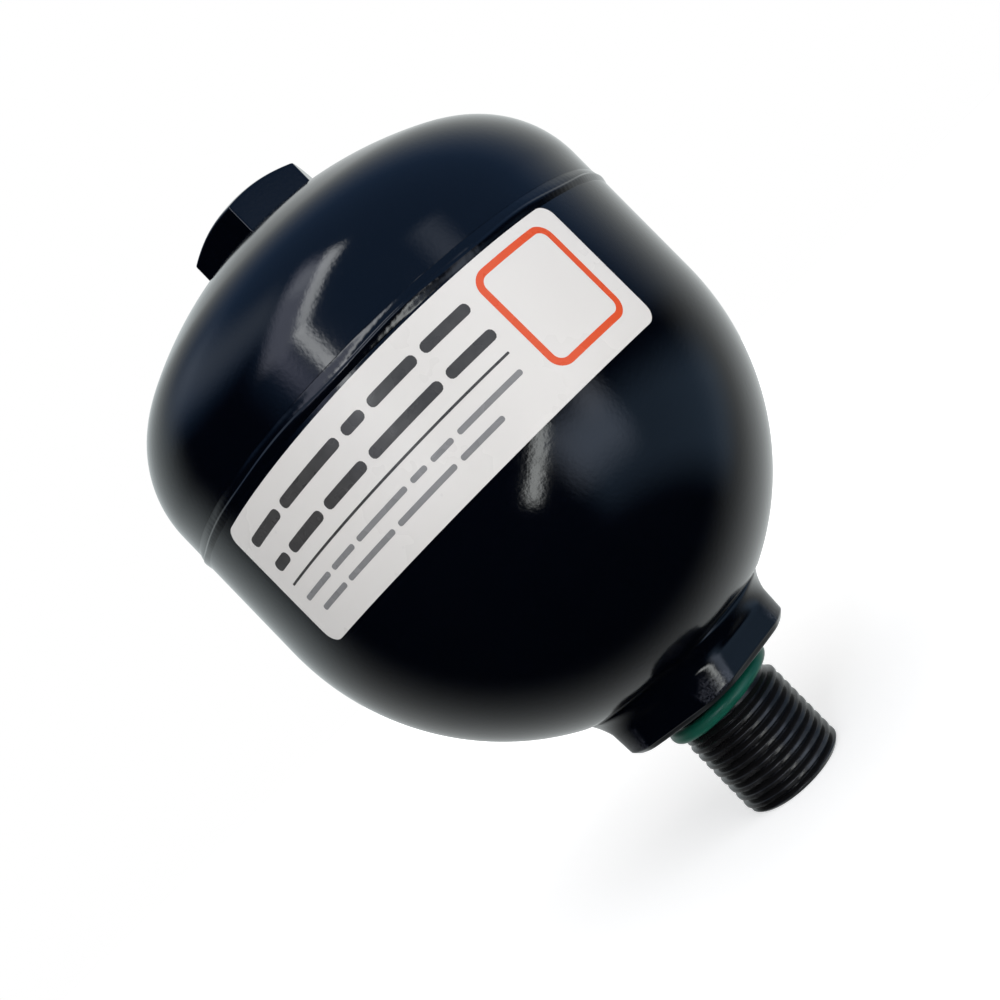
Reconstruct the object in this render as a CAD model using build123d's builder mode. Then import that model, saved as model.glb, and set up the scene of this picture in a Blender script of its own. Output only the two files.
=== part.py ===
from build123d import *
from math import atan2, cos, radians, sin, sqrt, tan
import os

# Welded diaphragm accumulator, millimetres.
# The axis is Z, with the oil port below and the gas plug above.
# Height zero is the flat underside of the hexagon boss, which seats on the block the port screws into.
# The label side faces -Y.

# Vessel
vessel_radius = 51.0
gas_shell_step = 0.2
wall = 4.0
bowl_radius = 53.5
bowl_lift = 3.5
seam_above_bowl = 22.6
knuckle_above_seam = 6.4
knuckle_radius = 22.0
crown_radius = 73.7

# Girth weld
weld_width = 2.6
weld_root_width = 0.8
weld_crown = 0.35

# Oil port: boss, stub and bore
boss_radius = 20.5
boss_across_flats = 38.0
boss_flat_height = 8.6
boss_runout_radius = 5.0
boss_chamfer = 1.1
boss_turn = 1.5
neck_fillet_radius = 7.0
stub_radius = 11.0
stub_length = 24.2
stub_chamfer = 0.8
relief_radius = 9.5
relief_height = 7.0
seat_recess_radius = 12.9
seat_recess_depth = 0.4
bore_radius = 5.0
bore_mouth_chamfer = 0.6

# Seal ring on the stub
port_seal_section = 2.8
port_seal_clearance = 0.1
port_seal_drop = 3.3
port_seal_tilt = 3.8

# Gas plug and its thread in the gas shell
plug_seat_radius = 15.6
plug_across_flats = 26.5
plug_head_height = 8.2
plug_crown_radius = 12.45
plug_crown_angle = 25.0
plug_turn = -6.5
plug_thread_radius = 10.0
plug_shank_length = 12.0
plug_end_chamfer = 1.0
thread_clearance = 0.05
inner_boss_radius = 15.0
inner_boss_depth = 12.0
inner_boss_fillet = 2.5
plug_seal_section = 1.8
plug_seal_groove_depth = 1.9
plug_seal_groove_width = 2.1
gas_passage_radius = 2.0

# Charging screw in the gas plug
screw_head_radius = 6.6
screw_head_height = 6.0
screw_head_clearance = 0.2
screw_thread_radius = 4.0
screw_length = 7.0
screw_socket_across_flats = 6.0
screw_socket_depth = 4.4
screw_chamfer = 0.5
screw_seal_thickness = 1.0
screw_seal_clearance = 0.1

# Diaphragm, closing button and clamp ring
diaphragm_thickness = 2.0
diaphragm_clearance = 0.3
bead_height = 6.0
bead_thickness = 3.2
clamp_seat_depth = 1.6
clamp_flange_thickness = 2.5
clamp_radial_width = 4.5
clamp_clearance = 0.1
button_radius = 12.0
button_thickness = 3.0
button_neck_radius = 5.0
button_cap_radius = 9.0
button_cap_thickness = 2.0
button_grip = 0.05
button_round = 0.6
button_seat_margin = 1.63

# Label
label_width = 80.0
label_height = 24.8
label_thickness = 0.12
label_corner = 2.2
label_above_bowl = 8.15
label_centre_angle = -93.5
label_tilt = 0.95
adhesive_gap = 0.02


# Derived places, from the sizes above
gas_shell_radius = vessel_radius - gas_shell_step
cylinder_start = bowl_radius + bowl_lift
seam_height = cylinder_start + seam_above_bowl
knuckle_start = seam_height + knuckle_above_seam
label_centre_height = cylinder_start + label_above_bowl
inner_radius = vessel_radius - wall
gas_inner_radius = gas_shell_radius - wall
bowl_centre_r = vessel_radius - bowl_radius
inner_bowl_radius = bowl_radius - wall
floor_r = button_radius + button_seat_margin
floor_height = cylinder_start - sqrt(inner_bowl_radius**2 - (floor_r - bowl_centre_r) ** 2)
neck_centre_r = boss_radius + neck_fillet_radius
neck_reach = neck_fillet_radius + bowl_radius
neck_centre_z = cylinder_start - sqrt(neck_reach**2 - (neck_centre_r - bowl_centre_r) ** 2)
neck_angle = atan2(cylinder_start - neck_centre_z, bowl_centre_r - neck_centre_r)
knuckle_centre_r = gas_shell_radius - knuckle_radius
crown_centre_z = knuckle_start - sqrt((crown_radius - knuckle_radius) ** 2 - knuckle_centre_r**2)
knuckle_angle = atan2(knuckle_start - crown_centre_z, knuckle_centre_r)
plug_seat_height = crown_centre_z + sqrt(crown_radius**2 - plug_seat_radius**2)
plug_seal_radius = plug_thread_radius + thread_clearance + plug_seal_groove_width / 2
clamp_top = seam_height - clamp_seat_depth
clamp_outer_radius = inner_radius - clamp_clearance
clamp_inner_radius = inner_radius - clamp_radial_width
bead_top = clamp_top - clamp_flange_thickness - clamp_clearance
bead_bottom = bead_top - bead_height


def polar(centre_r, centre_z, radius, angle):
    """Point at an angle in radians on a circle of the section."""
    return (centre_r + radius * cos(angle), centre_z + radius * sin(angle))


def bowl_meets(radius, height):
    """Distance from the axis at which a bowl arc of the given radius passes a height."""
    return bowl_centre_r + sqrt(radius**2 - (cylinder_start - height) ** 2)


# Flat cutter: the shape milled away to leave the six spanner flats on the round neck.
# The flats run out upwards with the milling cutter's radius.
with BuildPart() as flat_cutter:
    with BuildSketch():
        Circle(vessel_radius)
        RegularPolygon(
            boss_across_flats / 2,
            6,
            major_radius=False,
            rotation=boss_turn - 90,
            mode=Mode.SUBTRACT,
        )
    extrude(amount=boss_flat_height)
    inner_faces = flat_cutter.faces().filter_by(GeomType.PLANE).filter_by(Axis.Z, reverse=True)
    runout_edges = inner_faces.edges().filter_by(Plane.XY).group_by(Axis.Z)[-1]
    fillet(runout_edges, boss_runout_radius)

# Fluid shell: the lower half of the vessel, forged and turned in one piece with its neck,
# hexagon boss and threaded stub. The thread itself is not cut here.
weld_lower = seam_height - weld_width / 2
weld_upper = seam_height + weld_width / 2
root_lower = seam_height - weld_root_width / 2
root_upper = seam_height + weld_root_width / 2
bowl_low_angle = neck_angle - radians(180)
inner_low_angle = atan2(floor_height - cylinder_start, floor_r - bowl_centre_r)

with BuildPart() as fluid_shell:
    with BuildSketch(Plane.XZ):
        with BuildLine():
            stub_and_seat = Polyline(
                (bore_radius, floor_height - bore_mouth_chamfer),
                (bore_radius, -stub_length + bore_mouth_chamfer),
                (bore_radius + bore_mouth_chamfer, -stub_length),
                (stub_radius - stub_chamfer, -stub_length),
                (stub_radius, -stub_length + stub_chamfer),
                (stub_radius, -relief_height),
                (relief_radius, -relief_height + stub_radius - relief_radius),
                (relief_radius, seat_recess_depth),
                (seat_recess_radius, seat_recess_depth),
                (seat_recess_radius, 0),
                (boss_radius - boss_chamfer, 0),
                (boss_radius, boss_chamfer),
                (boss_radius, neck_centre_z),
            )
            neck = ThreePointArc(
                stub_and_seat @ 1,
                polar(neck_centre_r, neck_centre_z, neck_fillet_radius, (radians(180) + neck_angle) / 2),
                polar(neck_centre_r, neck_centre_z, neck_fillet_radius, neck_angle),
            )
            bowl = ThreePointArc(
                neck @ 1,
                polar(bowl_centre_r, cylinder_start, bowl_radius, bowl_low_angle / 2),
                (vessel_radius, cylinder_start),
            )
            Polyline(
                bowl @ 1,
                (vessel_radius, weld_lower),
                (inner_radius, root_lower),
                (inner_radius, cylinder_start),
            )
            inner_bowl = ThreePointArc(
                (inner_radius, cylinder_start),
                polar(bowl_centre_r, cylinder_start, inner_bowl_radius, inner_low_angle / 2),
                (floor_r, floor_height),
            )
            Polyline(
                inner_bowl @ 1,
                (bore_radius + bore_mouth_chamfer, floor_height),
                (bore_radius, floor_height - bore_mouth_chamfer),
            )
        make_face()
    revolve(axis=Axis.Z)
    add(flat_cutter.part, mode=Mode.SUBTRACT)
fluid_shell.part.label = "fluid_shell"

# Gas shell: the upper half, pressed from plate, thickened inside around the plug's thread.
crown_inner_radius = crown_radius - wall
boss_floor = plug_seat_height - inner_boss_depth
groove_outer = plug_thread_radius + thread_clearance + plug_seal_groove_width
boss_meets_z = crown_centre_z + sqrt(crown_inner_radius**2 - inner_boss_radius**2)
boss_meets_angle = atan2(boss_meets_z - crown_centre_z, inner_boss_radius)
seat_angle = atan2(plug_seat_height - crown_centre_z, plug_seat_radius)
thread_hole_radius = plug_thread_radius + thread_clearance

with BuildPart() as gas_shell:
    with BuildSketch(Plane.XZ):
        with BuildLine():
            rim = Polyline(
                (gas_inner_radius, knuckle_start),
                (gas_inner_radius, root_upper),
                (gas_shell_radius, weld_upper),
                (gas_shell_radius, knuckle_start),
            )
            knuckle = ThreePointArc(
                rim @ 1,
                polar(knuckle_centre_r, knuckle_start, knuckle_radius, knuckle_angle / 2),
                polar(knuckle_centre_r, knuckle_start, knuckle_radius, knuckle_angle),
            )
            crown = ThreePointArc(
                knuckle @ 1,
                polar(0, crown_centre_z, crown_radius, (knuckle_angle + seat_angle) / 2),
                (plug_seat_radius, plug_seat_height),
            )
            Polyline(
                crown @ 1,
                (groove_outer, plug_seat_height),
                (groove_outer, plug_seat_height - plug_seal_groove_depth),
                (thread_hole_radius, plug_seat_height - plug_seal_groove_depth),
                (thread_hole_radius, boss_floor),
                (inner_boss_radius, boss_floor),
                (inner_boss_radius, boss_meets_z),
            )
            inner_crown = ThreePointArc(
                (inner_boss_radius, boss_meets_z),
                polar(0, crown_centre_z, crown_inner_radius, (knuckle_angle + boss_meets_angle) / 2),
                polar(0, crown_centre_z, crown_inner_radius, knuckle_angle),
            )
            ThreePointArc(
                inner_crown @ 1,
                polar(knuckle_centre_r, knuckle_start, knuckle_radius - wall, knuckle_angle / 2),
                (gas_inner_radius, knuckle_start),
            )
        make_face()
    revolve(axis=Axis.Z)
    # The boss meets the inside of the dome in a soft corner: the higher of the two rims of its side.
    sides = gas_shell.faces().filter_by(GeomType.CYLINDER)
    boss_side = sides.sort_by(lambda face: abs(face.radius - inner_boss_radius))[0]
    fillet(boss_side.edges().filter_by(GeomType.CIRCLE).sort_by(Axis.Z)[-1], inner_boss_fillet)
gas_shell.part.label = "gas_shell"

# Girth weld: the bead of filler metal in the groove between the two halves, a little proud outside.
with BuildPart() as girth_weld:
    with BuildSketch(Plane.XZ):
        with BuildLine():
            Polyline(
                (gas_shell_radius, weld_upper),
                (gas_inner_radius, root_upper),
                (gas_inner_radius, seam_height),
                (inner_radius, root_lower),
                (vessel_radius, weld_lower),
            )
            ThreePointArc(
                (vessel_radius, weld_lower),
                (vessel_radius + weld_crown, seam_height),
                (gas_shell_radius, weld_upper),
            )
        make_face()
    revolve(axis=Axis.Z)
girth_weld.part.label = "girth_weld"

# Diaphragm: moulded rubber bowl that lies along the fluid shell when only the gas is under pressure.
# Its thick rim is held by the clamp ring and its middle grips the closing button.
skin_outer = inner_radius - diaphragm_clearance
skin_inner = skin_outer - diaphragm_thickness
skin_bowl_outer = inner_bowl_radius - diaphragm_clearance
skin_bowl_inner = skin_bowl_outer - diaphragm_thickness
skin_floor = floor_height + button_thickness
skin_top_face = skin_floor + diaphragm_thickness
skin_floor_outer_r = bowl_meets(skin_bowl_outer, skin_floor)
skin_floor_inner_r = bowl_meets(skin_bowl_inner, skin_top_face)
skin_outer_angle = atan2(skin_floor - cylinder_start, skin_floor_outer_r - bowl_centre_r)
skin_inner_angle = atan2(skin_top_face - cylinder_start, skin_floor_inner_r - bowl_centre_r)
grip_radius = button_neck_radius + button_grip

with BuildPart() as diaphragm:
    with BuildSketch(Plane.XZ):
        with BuildLine():
            Polyline(
                (skin_inner, cylinder_start),
                (skin_inner, bead_bottom),
                (skin_outer - bead_thickness, bead_top),
                (skin_outer, bead_top),
                (skin_outer, cylinder_start),
            )
            outer_skin = ThreePointArc(
                (skin_outer, cylinder_start),
                polar(bowl_centre_r, cylinder_start, skin_bowl_outer, skin_outer_angle / 2),
                (skin_floor_outer_r, skin_floor),
            )
            Polyline(
                outer_skin @ 1,
                (grip_radius, skin_floor),
                (grip_radius, skin_top_face),
                (skin_floor_inner_r, skin_top_face),
            )
            ThreePointArc(
                (skin_floor_inner_r, skin_top_face),
                polar(bowl_centre_r, cylinder_start, skin_bowl_inner, skin_inner_angle / 2),
                (skin_inner, cylinder_start),
            )
        make_face()
    revolve(axis=Axis.Z)
diaphragm.part.label = "diaphragm"

# Closing button: the turned disc in the middle of the diaphragm that shuts the bore when the oil is gone.
with BuildPart() as closing_button:
    with BuildSketch(Plane.XZ):
        Polygon(
            (0, floor_height),
            (button_radius, floor_height),
            (button_radius, skin_floor),
            (button_neck_radius, skin_floor),
            (button_neck_radius, skin_top_face),
            (button_cap_radius, skin_top_face),
            (button_cap_radius, skin_top_face + button_cap_thickness),
            (0, skin_top_face + button_cap_thickness),
            align=None,
        )
    revolve(axis=Axis.Z)
    rims = closing_button.edges().filter_by(GeomType.CIRCLE)
    fillet([edge for edge in rims if edge.radius > button_neck_radius + button_round], button_round)
closing_button.part.label = "closing_button"

# Clamp ring: a turned steel ring of L section, pressed into the fluid shell over the diaphragm's rim.
with BuildPart() as clamp_ring:
    with BuildSketch(Plane.XZ):
        Polygon(
            (clamp_inner_radius, clamp_top),
            (clamp_outer_radius, clamp_top),
            (clamp_outer_radius, clamp_top - clamp_flange_thickness),
            (skin_outer - bead_thickness - clamp_clearance, clamp_top - clamp_flange_thickness),
            (skin_inner - clamp_clearance, bead_bottom),
            (clamp_inner_radius, bead_bottom),
            align=None,
        )
    revolve(axis=Axis.Z)
clamp_ring.part.label = "clamp_ring"

# Gas plug: hexagon-headed screw plug that closes the gas shell, bored for the charging screw.
plug_top = plug_seat_height + plug_head_height
crown_slope = tan(radians(plug_crown_angle))
screw_pocket = screw_head_height + screw_seal_thickness
pocket_floor = plug_top - screw_pocket
pocket_radius = screw_head_radius + screw_head_clearance
shank_bottom = plug_seat_height - plug_shank_length
screw_hole_radius = screw_thread_radius + thread_clearance
screw_hole_bottom = pocket_floor - screw_length - screw_chamfer

with BuildPart() as gas_plug:
    with BuildSketch(Plane.XY.offset(plug_seat_height)):
        RegularPolygon(plug_across_flats / 2, 6, major_radius=False, rotation=plug_turn - 90)
    extrude(amount=plug_head_height)
    # The chamfer that turning leaves on a hexagon: a cone that trims the six top corners.
    with BuildSketch(Plane.XZ):
        Polygon(
            (0, shank_bottom),
            (plug_across_flats, shank_bottom),
            (plug_across_flats, plug_top - (plug_across_flats - plug_crown_radius) * crown_slope),
            (plug_crown_radius, plug_top),
            (0, plug_top),
            align=None,
        )
    revolve(axis=Axis.Z, mode=Mode.INTERSECT)
    with BuildSketch(Plane.XZ):
        Polygon(
            (0, shank_bottom),
            (plug_thread_radius - plug_end_chamfer, shank_bottom),
            (plug_thread_radius, shank_bottom + plug_end_chamfer),
            (plug_thread_radius, plug_seat_height),
            (0, plug_seat_height),
            align=None,
        )
    revolve(axis=Axis.Z)
    with BuildSketch(Plane.XZ):
        Polygon(
            (0, plug_top),
            (pocket_radius, plug_top),
            (pocket_radius, pocket_floor),
            (screw_hole_radius, pocket_floor),
            (screw_hole_radius, screw_hole_bottom),
            (gas_passage_radius, screw_hole_bottom),
            (gas_passage_radius, shank_bottom),
            (0, shank_bottom),
            align=None,
        )
    revolve(axis=Axis.Z, mode=Mode.SUBTRACT)
gas_plug.part.label = "gas_plug"

# Gas plug seal: the rubber ring in the groove under the plug's head.
with BuildPart() as gas_plug_seal:
    with BuildSketch(Plane.XZ):
        with Locations((plug_seal_radius, plug_seat_height - plug_seal_groove_depth / 2)):
            Circle(plug_seal_section / 2)
    revolve(axis=Axis.Z)
gas_plug_seal.part.label = "gas_plug_seal"

# Charging screw: socket-headed screw in the plug, loosened to let nitrogen in or out.
head_bottom = plug_top - screw_head_height
screw_bottom = pocket_floor - screw_length
with BuildPart() as charging_screw:
    with BuildSketch(Plane.XZ):
        Polygon(
            (0, screw_bottom),
            (screw_thread_radius - screw_chamfer, screw_bottom),
            (screw_thread_radius, screw_bottom + screw_chamfer),
            (screw_thread_radius, head_bottom),
            (screw_head_radius, head_bottom),
            (screw_head_radius, plug_top - screw_chamfer),
            (screw_head_radius - screw_chamfer, plug_top),
            (0, plug_top),
            align=None,
        )
    revolve(axis=Axis.Z)
    with BuildSketch(Plane.XY.offset(plug_top)):
        RegularPolygon(screw_socket_across_flats / 2, 6, major_radius=False)
    extrude(amount=-screw_socket_depth, mode=Mode.SUBTRACT)
charging_screw.part.label = "charging_screw"

# Charging screw seal: the flat copper ring under the screw's head.
with BuildPart() as charging_screw_seal:
    with BuildSketch(Plane.XY.offset(pocket_floor)):
        Circle(screw_head_radius)
        Circle(screw_thread_radius + screw_seal_clearance, mode=Mode.SUBTRACT)
    extrude(amount=screw_seal_thickness)
charging_screw_seal.part.label = "charging_screw_seal"

# Port seal: the green rubber ring in the relief between the thread and the boss, a little askew.
port_seal_ring_radius = relief_radius + port_seal_clearance + port_seal_section / 2
with BuildPart(Plane.XY.offset(-port_seal_drop).rotated((0, -port_seal_tilt, 0))) as port_seal:
    Torus(port_seal_ring_radius, port_seal_section / 2)
port_seal.part.label = "port_seal"

# Label: a vinyl sticker wrapped round the front of the fluid shell, a little out of level.
label_inner_radius = vessel_radius + adhesive_gap
label_chord = 2 * label_inner_radius * sin(label_width / label_inner_radius / 2)
label_plane = Plane(
    origin=(0, 0, label_centre_height),
    x_dir=(-sin(radians(label_centre_angle)), cos(radians(label_centre_angle)), 0),
    z_dir=(cos(radians(label_centre_angle)), sin(radians(label_centre_angle)), 0),
)
with BuildPart() as label:
    with BuildSketch():
        Circle(label_inner_radius + label_thickness)
        Circle(label_inner_radius, mode=Mode.SUBTRACT)
    extrude(amount=seam_height)
    with BuildSketch(label_plane):
        RectangleRounded(label_chord, label_height, label_corner, rotation=label_tilt)
    extrude(amount=2 * vessel_radius, mode=Mode.INTERSECT)
label.part.label = "label"

os.makedirs("parts", exist_ok=True)
export_step(fluid_shell.part, "parts/fluid_shell.step")
export_step(gas_shell.part, "parts/gas_shell.step")
export_step(girth_weld.part, "parts/girth_weld.step")
export_step(diaphragm.part, "parts/diaphragm.step")
export_step(closing_button.part, "parts/closing_button.step")
export_step(clamp_ring.part, "parts/clamp_ring.step")
export_step(gas_plug.part, "parts/gas_plug.step")
export_step(gas_plug_seal.part, "parts/gas_plug_seal.step")
export_step(charging_screw.part, "parts/charging_screw.step")
export_step(charging_screw_seal.part, "parts/charging_screw_seal.step")
export_step(port_seal.part, "parts/port_seal.step")
export_step(label.part, "parts/label.step")
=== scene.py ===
import math

import bpy
import numpy as np
from mathutils import Matrix, Vector


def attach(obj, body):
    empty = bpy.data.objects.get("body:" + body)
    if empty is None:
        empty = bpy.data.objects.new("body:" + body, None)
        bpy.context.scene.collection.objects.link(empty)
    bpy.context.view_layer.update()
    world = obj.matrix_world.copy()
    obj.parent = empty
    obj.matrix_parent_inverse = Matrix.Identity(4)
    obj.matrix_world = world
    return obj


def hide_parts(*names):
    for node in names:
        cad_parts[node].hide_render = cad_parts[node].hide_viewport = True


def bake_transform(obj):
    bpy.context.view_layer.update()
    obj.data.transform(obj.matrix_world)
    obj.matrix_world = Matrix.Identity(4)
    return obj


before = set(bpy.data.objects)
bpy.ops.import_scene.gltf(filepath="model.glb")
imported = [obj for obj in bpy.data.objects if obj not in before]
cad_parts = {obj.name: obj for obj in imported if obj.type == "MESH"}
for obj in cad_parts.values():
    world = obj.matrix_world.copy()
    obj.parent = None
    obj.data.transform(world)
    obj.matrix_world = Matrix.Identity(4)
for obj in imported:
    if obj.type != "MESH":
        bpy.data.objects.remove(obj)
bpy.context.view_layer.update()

# Welded diaphragm accumulator. The axis is Z, the oil port points down, and height zero is the
# underside of the hexagon boss. Sections are worked out in millimetres and made in metres.

# Camera: close in front of the sticker, level with the bowl, and rolled so that the vessel lies
# across the picture from the lower left to the upper right.
camera_distance = 0.204
camera_height = 0.04563
camera_pitch = math.radians(-1.5616)
camera_yaw = math.radians(1.0983)
camera_roll = math.radians(-44.3499)
sensor_width = 36.0
focal_share = 1.07128

facing = (
    Matrix.Rotation(camera_roll, 3, "Z")
    @ Matrix.Rotation(camera_pitch, 3, "X")
    @ Matrix.Rotation(camera_yaw, 3, "Y")
    @ Matrix.Rotation(math.pi / 2, 3, "X")
)
camera_data = bpy.data.cameras.new("camera")
camera_data.sensor_width = sensor_width
camera_data.lens = sensor_width * focal_share
camera_data.clip_start = 0.01
camera = bpy.data.objects.new("camera", camera_data)
bpy.context.scene.collection.objects.link(camera)
camera_axes = facing.transposed() @ Matrix.Diagonal(Vector((1, -1, -1)))
camera.matrix_world = Matrix.Translation((0, -camera_distance, camera_height)) @ camera_axes.to_4x4()
bpy.context.scene.camera = camera


def arc(centre_r, centre_z, radius, start, stop, spacing=1.1):
    """Points of a section along a circle: centre plus radius times cosine and sine of the angle."""
    count = max(4, int(abs(stop - start) * radius / spacing) + 1)
    angle = np.linspace(start, stop, count)
    return np.stack([centre_r + radius * np.cos(angle), centre_z + radius * np.sin(angle)], 1)


def section(*corners, spacing=2.5):
    """Points of a section through corners (r, z, rounding). A corner is cut back by its rounding
    along both sides and bridged by the parabola (1-s)^2 A + 2s(1-s) C + s^2 B."""
    points = []
    share = np.linspace(0, 1, 5)[:, None]
    for number, (r, z, rounding) in enumerate(corners):
        corner = np.array([r, z])
        if rounding and 0 < number < len(corners) - 1:
            before = np.array(corners[number - 1][:2]) - corner
            after = np.array(corners[number + 1][:2]) - corner
            start = corner + before / np.linalg.norm(before) * rounding
            stop = corner + after / np.linalg.norm(after) * rounding
            points.append((1 - share) ** 2 * start + 2 * share * (1 - share) * corner + share**2 * stop)
        else:
            points.append(corner[None])
    bent = np.vstack(points)
    full = [bent[:1]]
    for start, stop in zip(bent[:-1], bent[1:]):
        count = max(1, int(np.linalg.norm(stop - start) / spacing))
        full.append(start + (stop - start) * np.linspace(0, 1, count + 1)[1:, None])
    return np.vstack(full)


def hexagon_columns(first_corner, per_side, crowding):
    """Angles round the axis that crowd at six corners: u - c sin(2 pi u) / (2 pi) in each sixth."""
    u = np.arange(per_side) / per_side
    eased = u - crowding * np.sin(2 * np.pi * u) / (2 * np.pi)
    return first_corner + (np.arange(6)[:, None] + eased).ravel() * math.pi / 3


def hexagon_reach(angle, half_width, first_corner, sharpness):
    """Distance from the axis to six flats: half width over the cosine from the flat's middle,
    the six joined by a power mean, so that the corners are slightly round."""
    middles = first_corner + math.pi / 6 + np.arange(6) * math.pi / 3
    facing_share = np.maximum(np.cos(angle[..., None] - middles), 1e-6)
    return half_width / (facing_share**sharpness).sum(-1) ** (1 / sharpness)


def soft_minimum(first, second, sharpness):
    """The smaller of two lengths, with the crossing rounded: (a^-p + b^-p)^(-1/p)."""
    small = np.minimum(first, second)
    large = np.maximum(first, second)
    return small * (1 + (small / large) ** sharpness) ** (-1 / sharpness)


def ring_points(r, z, angle):
    """Grid of points from radius, height and angle: x = r cos a, y = r sin a."""
    r, z, angle = np.broadcast_arrays(r, z, angle)
    return np.stack([r * np.cos(angle), r * np.sin(angle), z], -1)


def grid_faces(rows, columns, closed_rows=True, closed_columns=True):
    """Four-sided faces between the neighbouring rows and columns of a grid of points."""
    row = np.arange(rows if closed_rows else rows - 1)[:, None]
    column = np.arange(columns if closed_columns else columns - 1)[None]
    next_row = (row + 1) % rows
    next_column = (column + 1) % columns
    corners = [row * columns + column, row * columns + next_column]
    corners += [next_row * columns + next_column, next_row * columns + column]
    return np.stack(np.broadcast_arrays(*corners), -1).reshape(-1, 4)


def add_piece(name, points, faces, material, body, stands_for=()):
    """Makes a piece from points in millimetres and faces of three or four point numbers. Faces are
    turned outwards, and each point's normal is the mean of its faces' normals by their area."""
    points = np.asarray(points, float).reshape(-1, 3) / 1000
    faces = np.asarray(faces)
    first, third = points[faces[:, 0]], points[faces[:, 2]]
    second, last = points[faces[:, 1]], points[faces[:, -1]]
    face_normals = np.cross(third - first, last - second)
    middle = (first + third) / 2 - points.mean(0)
    if (face_normals * middle).sum() < 0:
        faces = faces[:, ::-1]
        face_normals = -face_normals
    normals = np.zeros_like(points)
    for corner in range(faces.shape[1]):
        np.add.at(normals, faces[:, corner], face_normals)
    normals /= np.linalg.norm(normals, axis=1, keepdims=True) + 1e-20
    mesh = bpy.data.meshes.new(name)
    mesh.from_pydata(points.tolist(), [], faces.tolist())
    mesh.shade_smooth()
    mesh.normals_split_custom_set_from_vertices(normals.tolist())
    mesh.materials.append(material)
    piece = bpy.data.objects.new(name, mesh)
    bpy.context.scene.collection.objects.link(piece)
    if body:
        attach(piece, body)
    if stands_for:
        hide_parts(*stands_for)
    return piece


def fill(tree, socket, value):
    """Gives an input socket a number, a colour or the output of another node."""
    if isinstance(value, bpy.types.NodeSocket):
        tree.links.new(value, socket)
    else:
        socket.default_value = value


def put_node(tree, kind, inputs=None, **settings):
    """Adds a shader node with its settings. An input takes a number, a colour or a socket."""
    node = tree.nodes.new(kind)
    for key, value in settings.items():
        setattr(node, key, value)
    for key, value in (inputs or {}).items():
        fill(tree, node.inputs[key], value)
    return node


def new_material(name, **shader):
    """Makes a material whose Principled shader has the given plain values, and returns its tree."""
    material = bpy.data.materials.new(name)
    material.use_nodes = True
    tree = material.node_tree
    principled = tree.nodes["Principled BSDF"]
    for key, value in shader.items():
        principled.inputs[key.replace("_", " ")].default_value = value
    return material, tree, principled


def new_group(name, inputs, outputs):
    """Makes an empty shader node group. Inputs are (name, type, default) and outputs (name, type)."""
    group = bpy.data.node_groups.new(name, "ShaderNodeTree")
    for label, kind, default in inputs:
        group.interface.new_socket(label, in_out="INPUT", socket_type=kind).default_value = default
    for label, kind in outputs:
        group.interface.new_socket(label, in_out="OUTPUT", socket_type=kind)
    return group, group.nodes.new("NodeGroupInput"), group.nodes.new("NodeGroupOutput")


def noise(tree, place, size, detail=2.0, roughness=0.5):
    """Cloudy noise between 0 and 1 whose features are about size metres across."""
    inputs = {"Vector": place, "Scale": 1 / size, "Detail": detail, "Roughness": roughness}
    return put_node(tree, "ShaderNodeTexNoise", inputs).outputs["Fac"]


def ramp(tree, value, low, high, out_low=0.0, out_high=1.0):
    """Carries a value from the span low..high to out_low..out_high, easing in and out."""
    inputs = {"Value": value, "From Min": low, "From Max": high, "To Min": out_low, "To Max": out_high}
    return put_node(tree, "ShaderNodeMapRange", inputs, interpolation_type="SMOOTHSTEP").outputs["Result"]


def calculate(tree, operation, first, second=0.0):
    """One sum on two values, such as ADD or MULTIPLY."""
    return put_node(tree, "ShaderNodeMath", {0: first, 1: second}, operation=operation).outputs[0]


def product(tree, first, *others):
    """Several values multiplied together."""
    for other in others:
        first = calculate(tree, "MULTIPLY", first, other)
    return first


def mix_colours(tree, share, first, second):
    """First colour where share is 0, second where it is 1."""
    node = put_node(tree, "ShaderNodeMix", data_type="RGBA")
    sockets = [socket for socket in node.inputs if socket.enabled]
    for socket, value in zip(sockets, (share, first, second)):
        fill(tree, socket, value)
    return next(socket for socket in node.outputs if socket.enabled)


def bump(tree, height, distance, over=None):
    """Normal bent by a height from 0 to 1 times distance in metres, over an earlier normal if given."""
    inputs = {"Height": height, "Distance": distance}
    if over:
        inputs["Normal"] = over
    return put_node(tree, "ShaderNodeBump", inputs).outputs["Normal"]


def object_place(tree):
    """Place on the piece, in metres."""
    return put_node(tree, "ShaderNodeTexCoord").outputs["Object"]


def from_axis(tree, place):
    """Distance from the vessel's axis, and height."""
    across = put_node(tree, "ShaderNodeVectorMath", {0: place, 1: (1, 1, 0)}, operation="MULTIPLY").outputs[0]
    radius = put_node(tree, "ShaderNodeVectorMath", {0: across}, operation="LENGTH").outputs["Value"]
    return radius, put_node(tree, "ShaderNodeSeparateXYZ", {"Vector": place}).outputs["Z"]


def set_surface(tree, principled, tone, gloss, normal=None):
    """Links a colour, a roughness and perhaps a normal to a material's shader."""
    tree.links.new(tone, principled.inputs["Base Color"])
    tree.links.new(gloss, principled.inputs["Roughness"])
    if normal:
        tree.links.new(normal, principled.inputs["Normal"])


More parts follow.
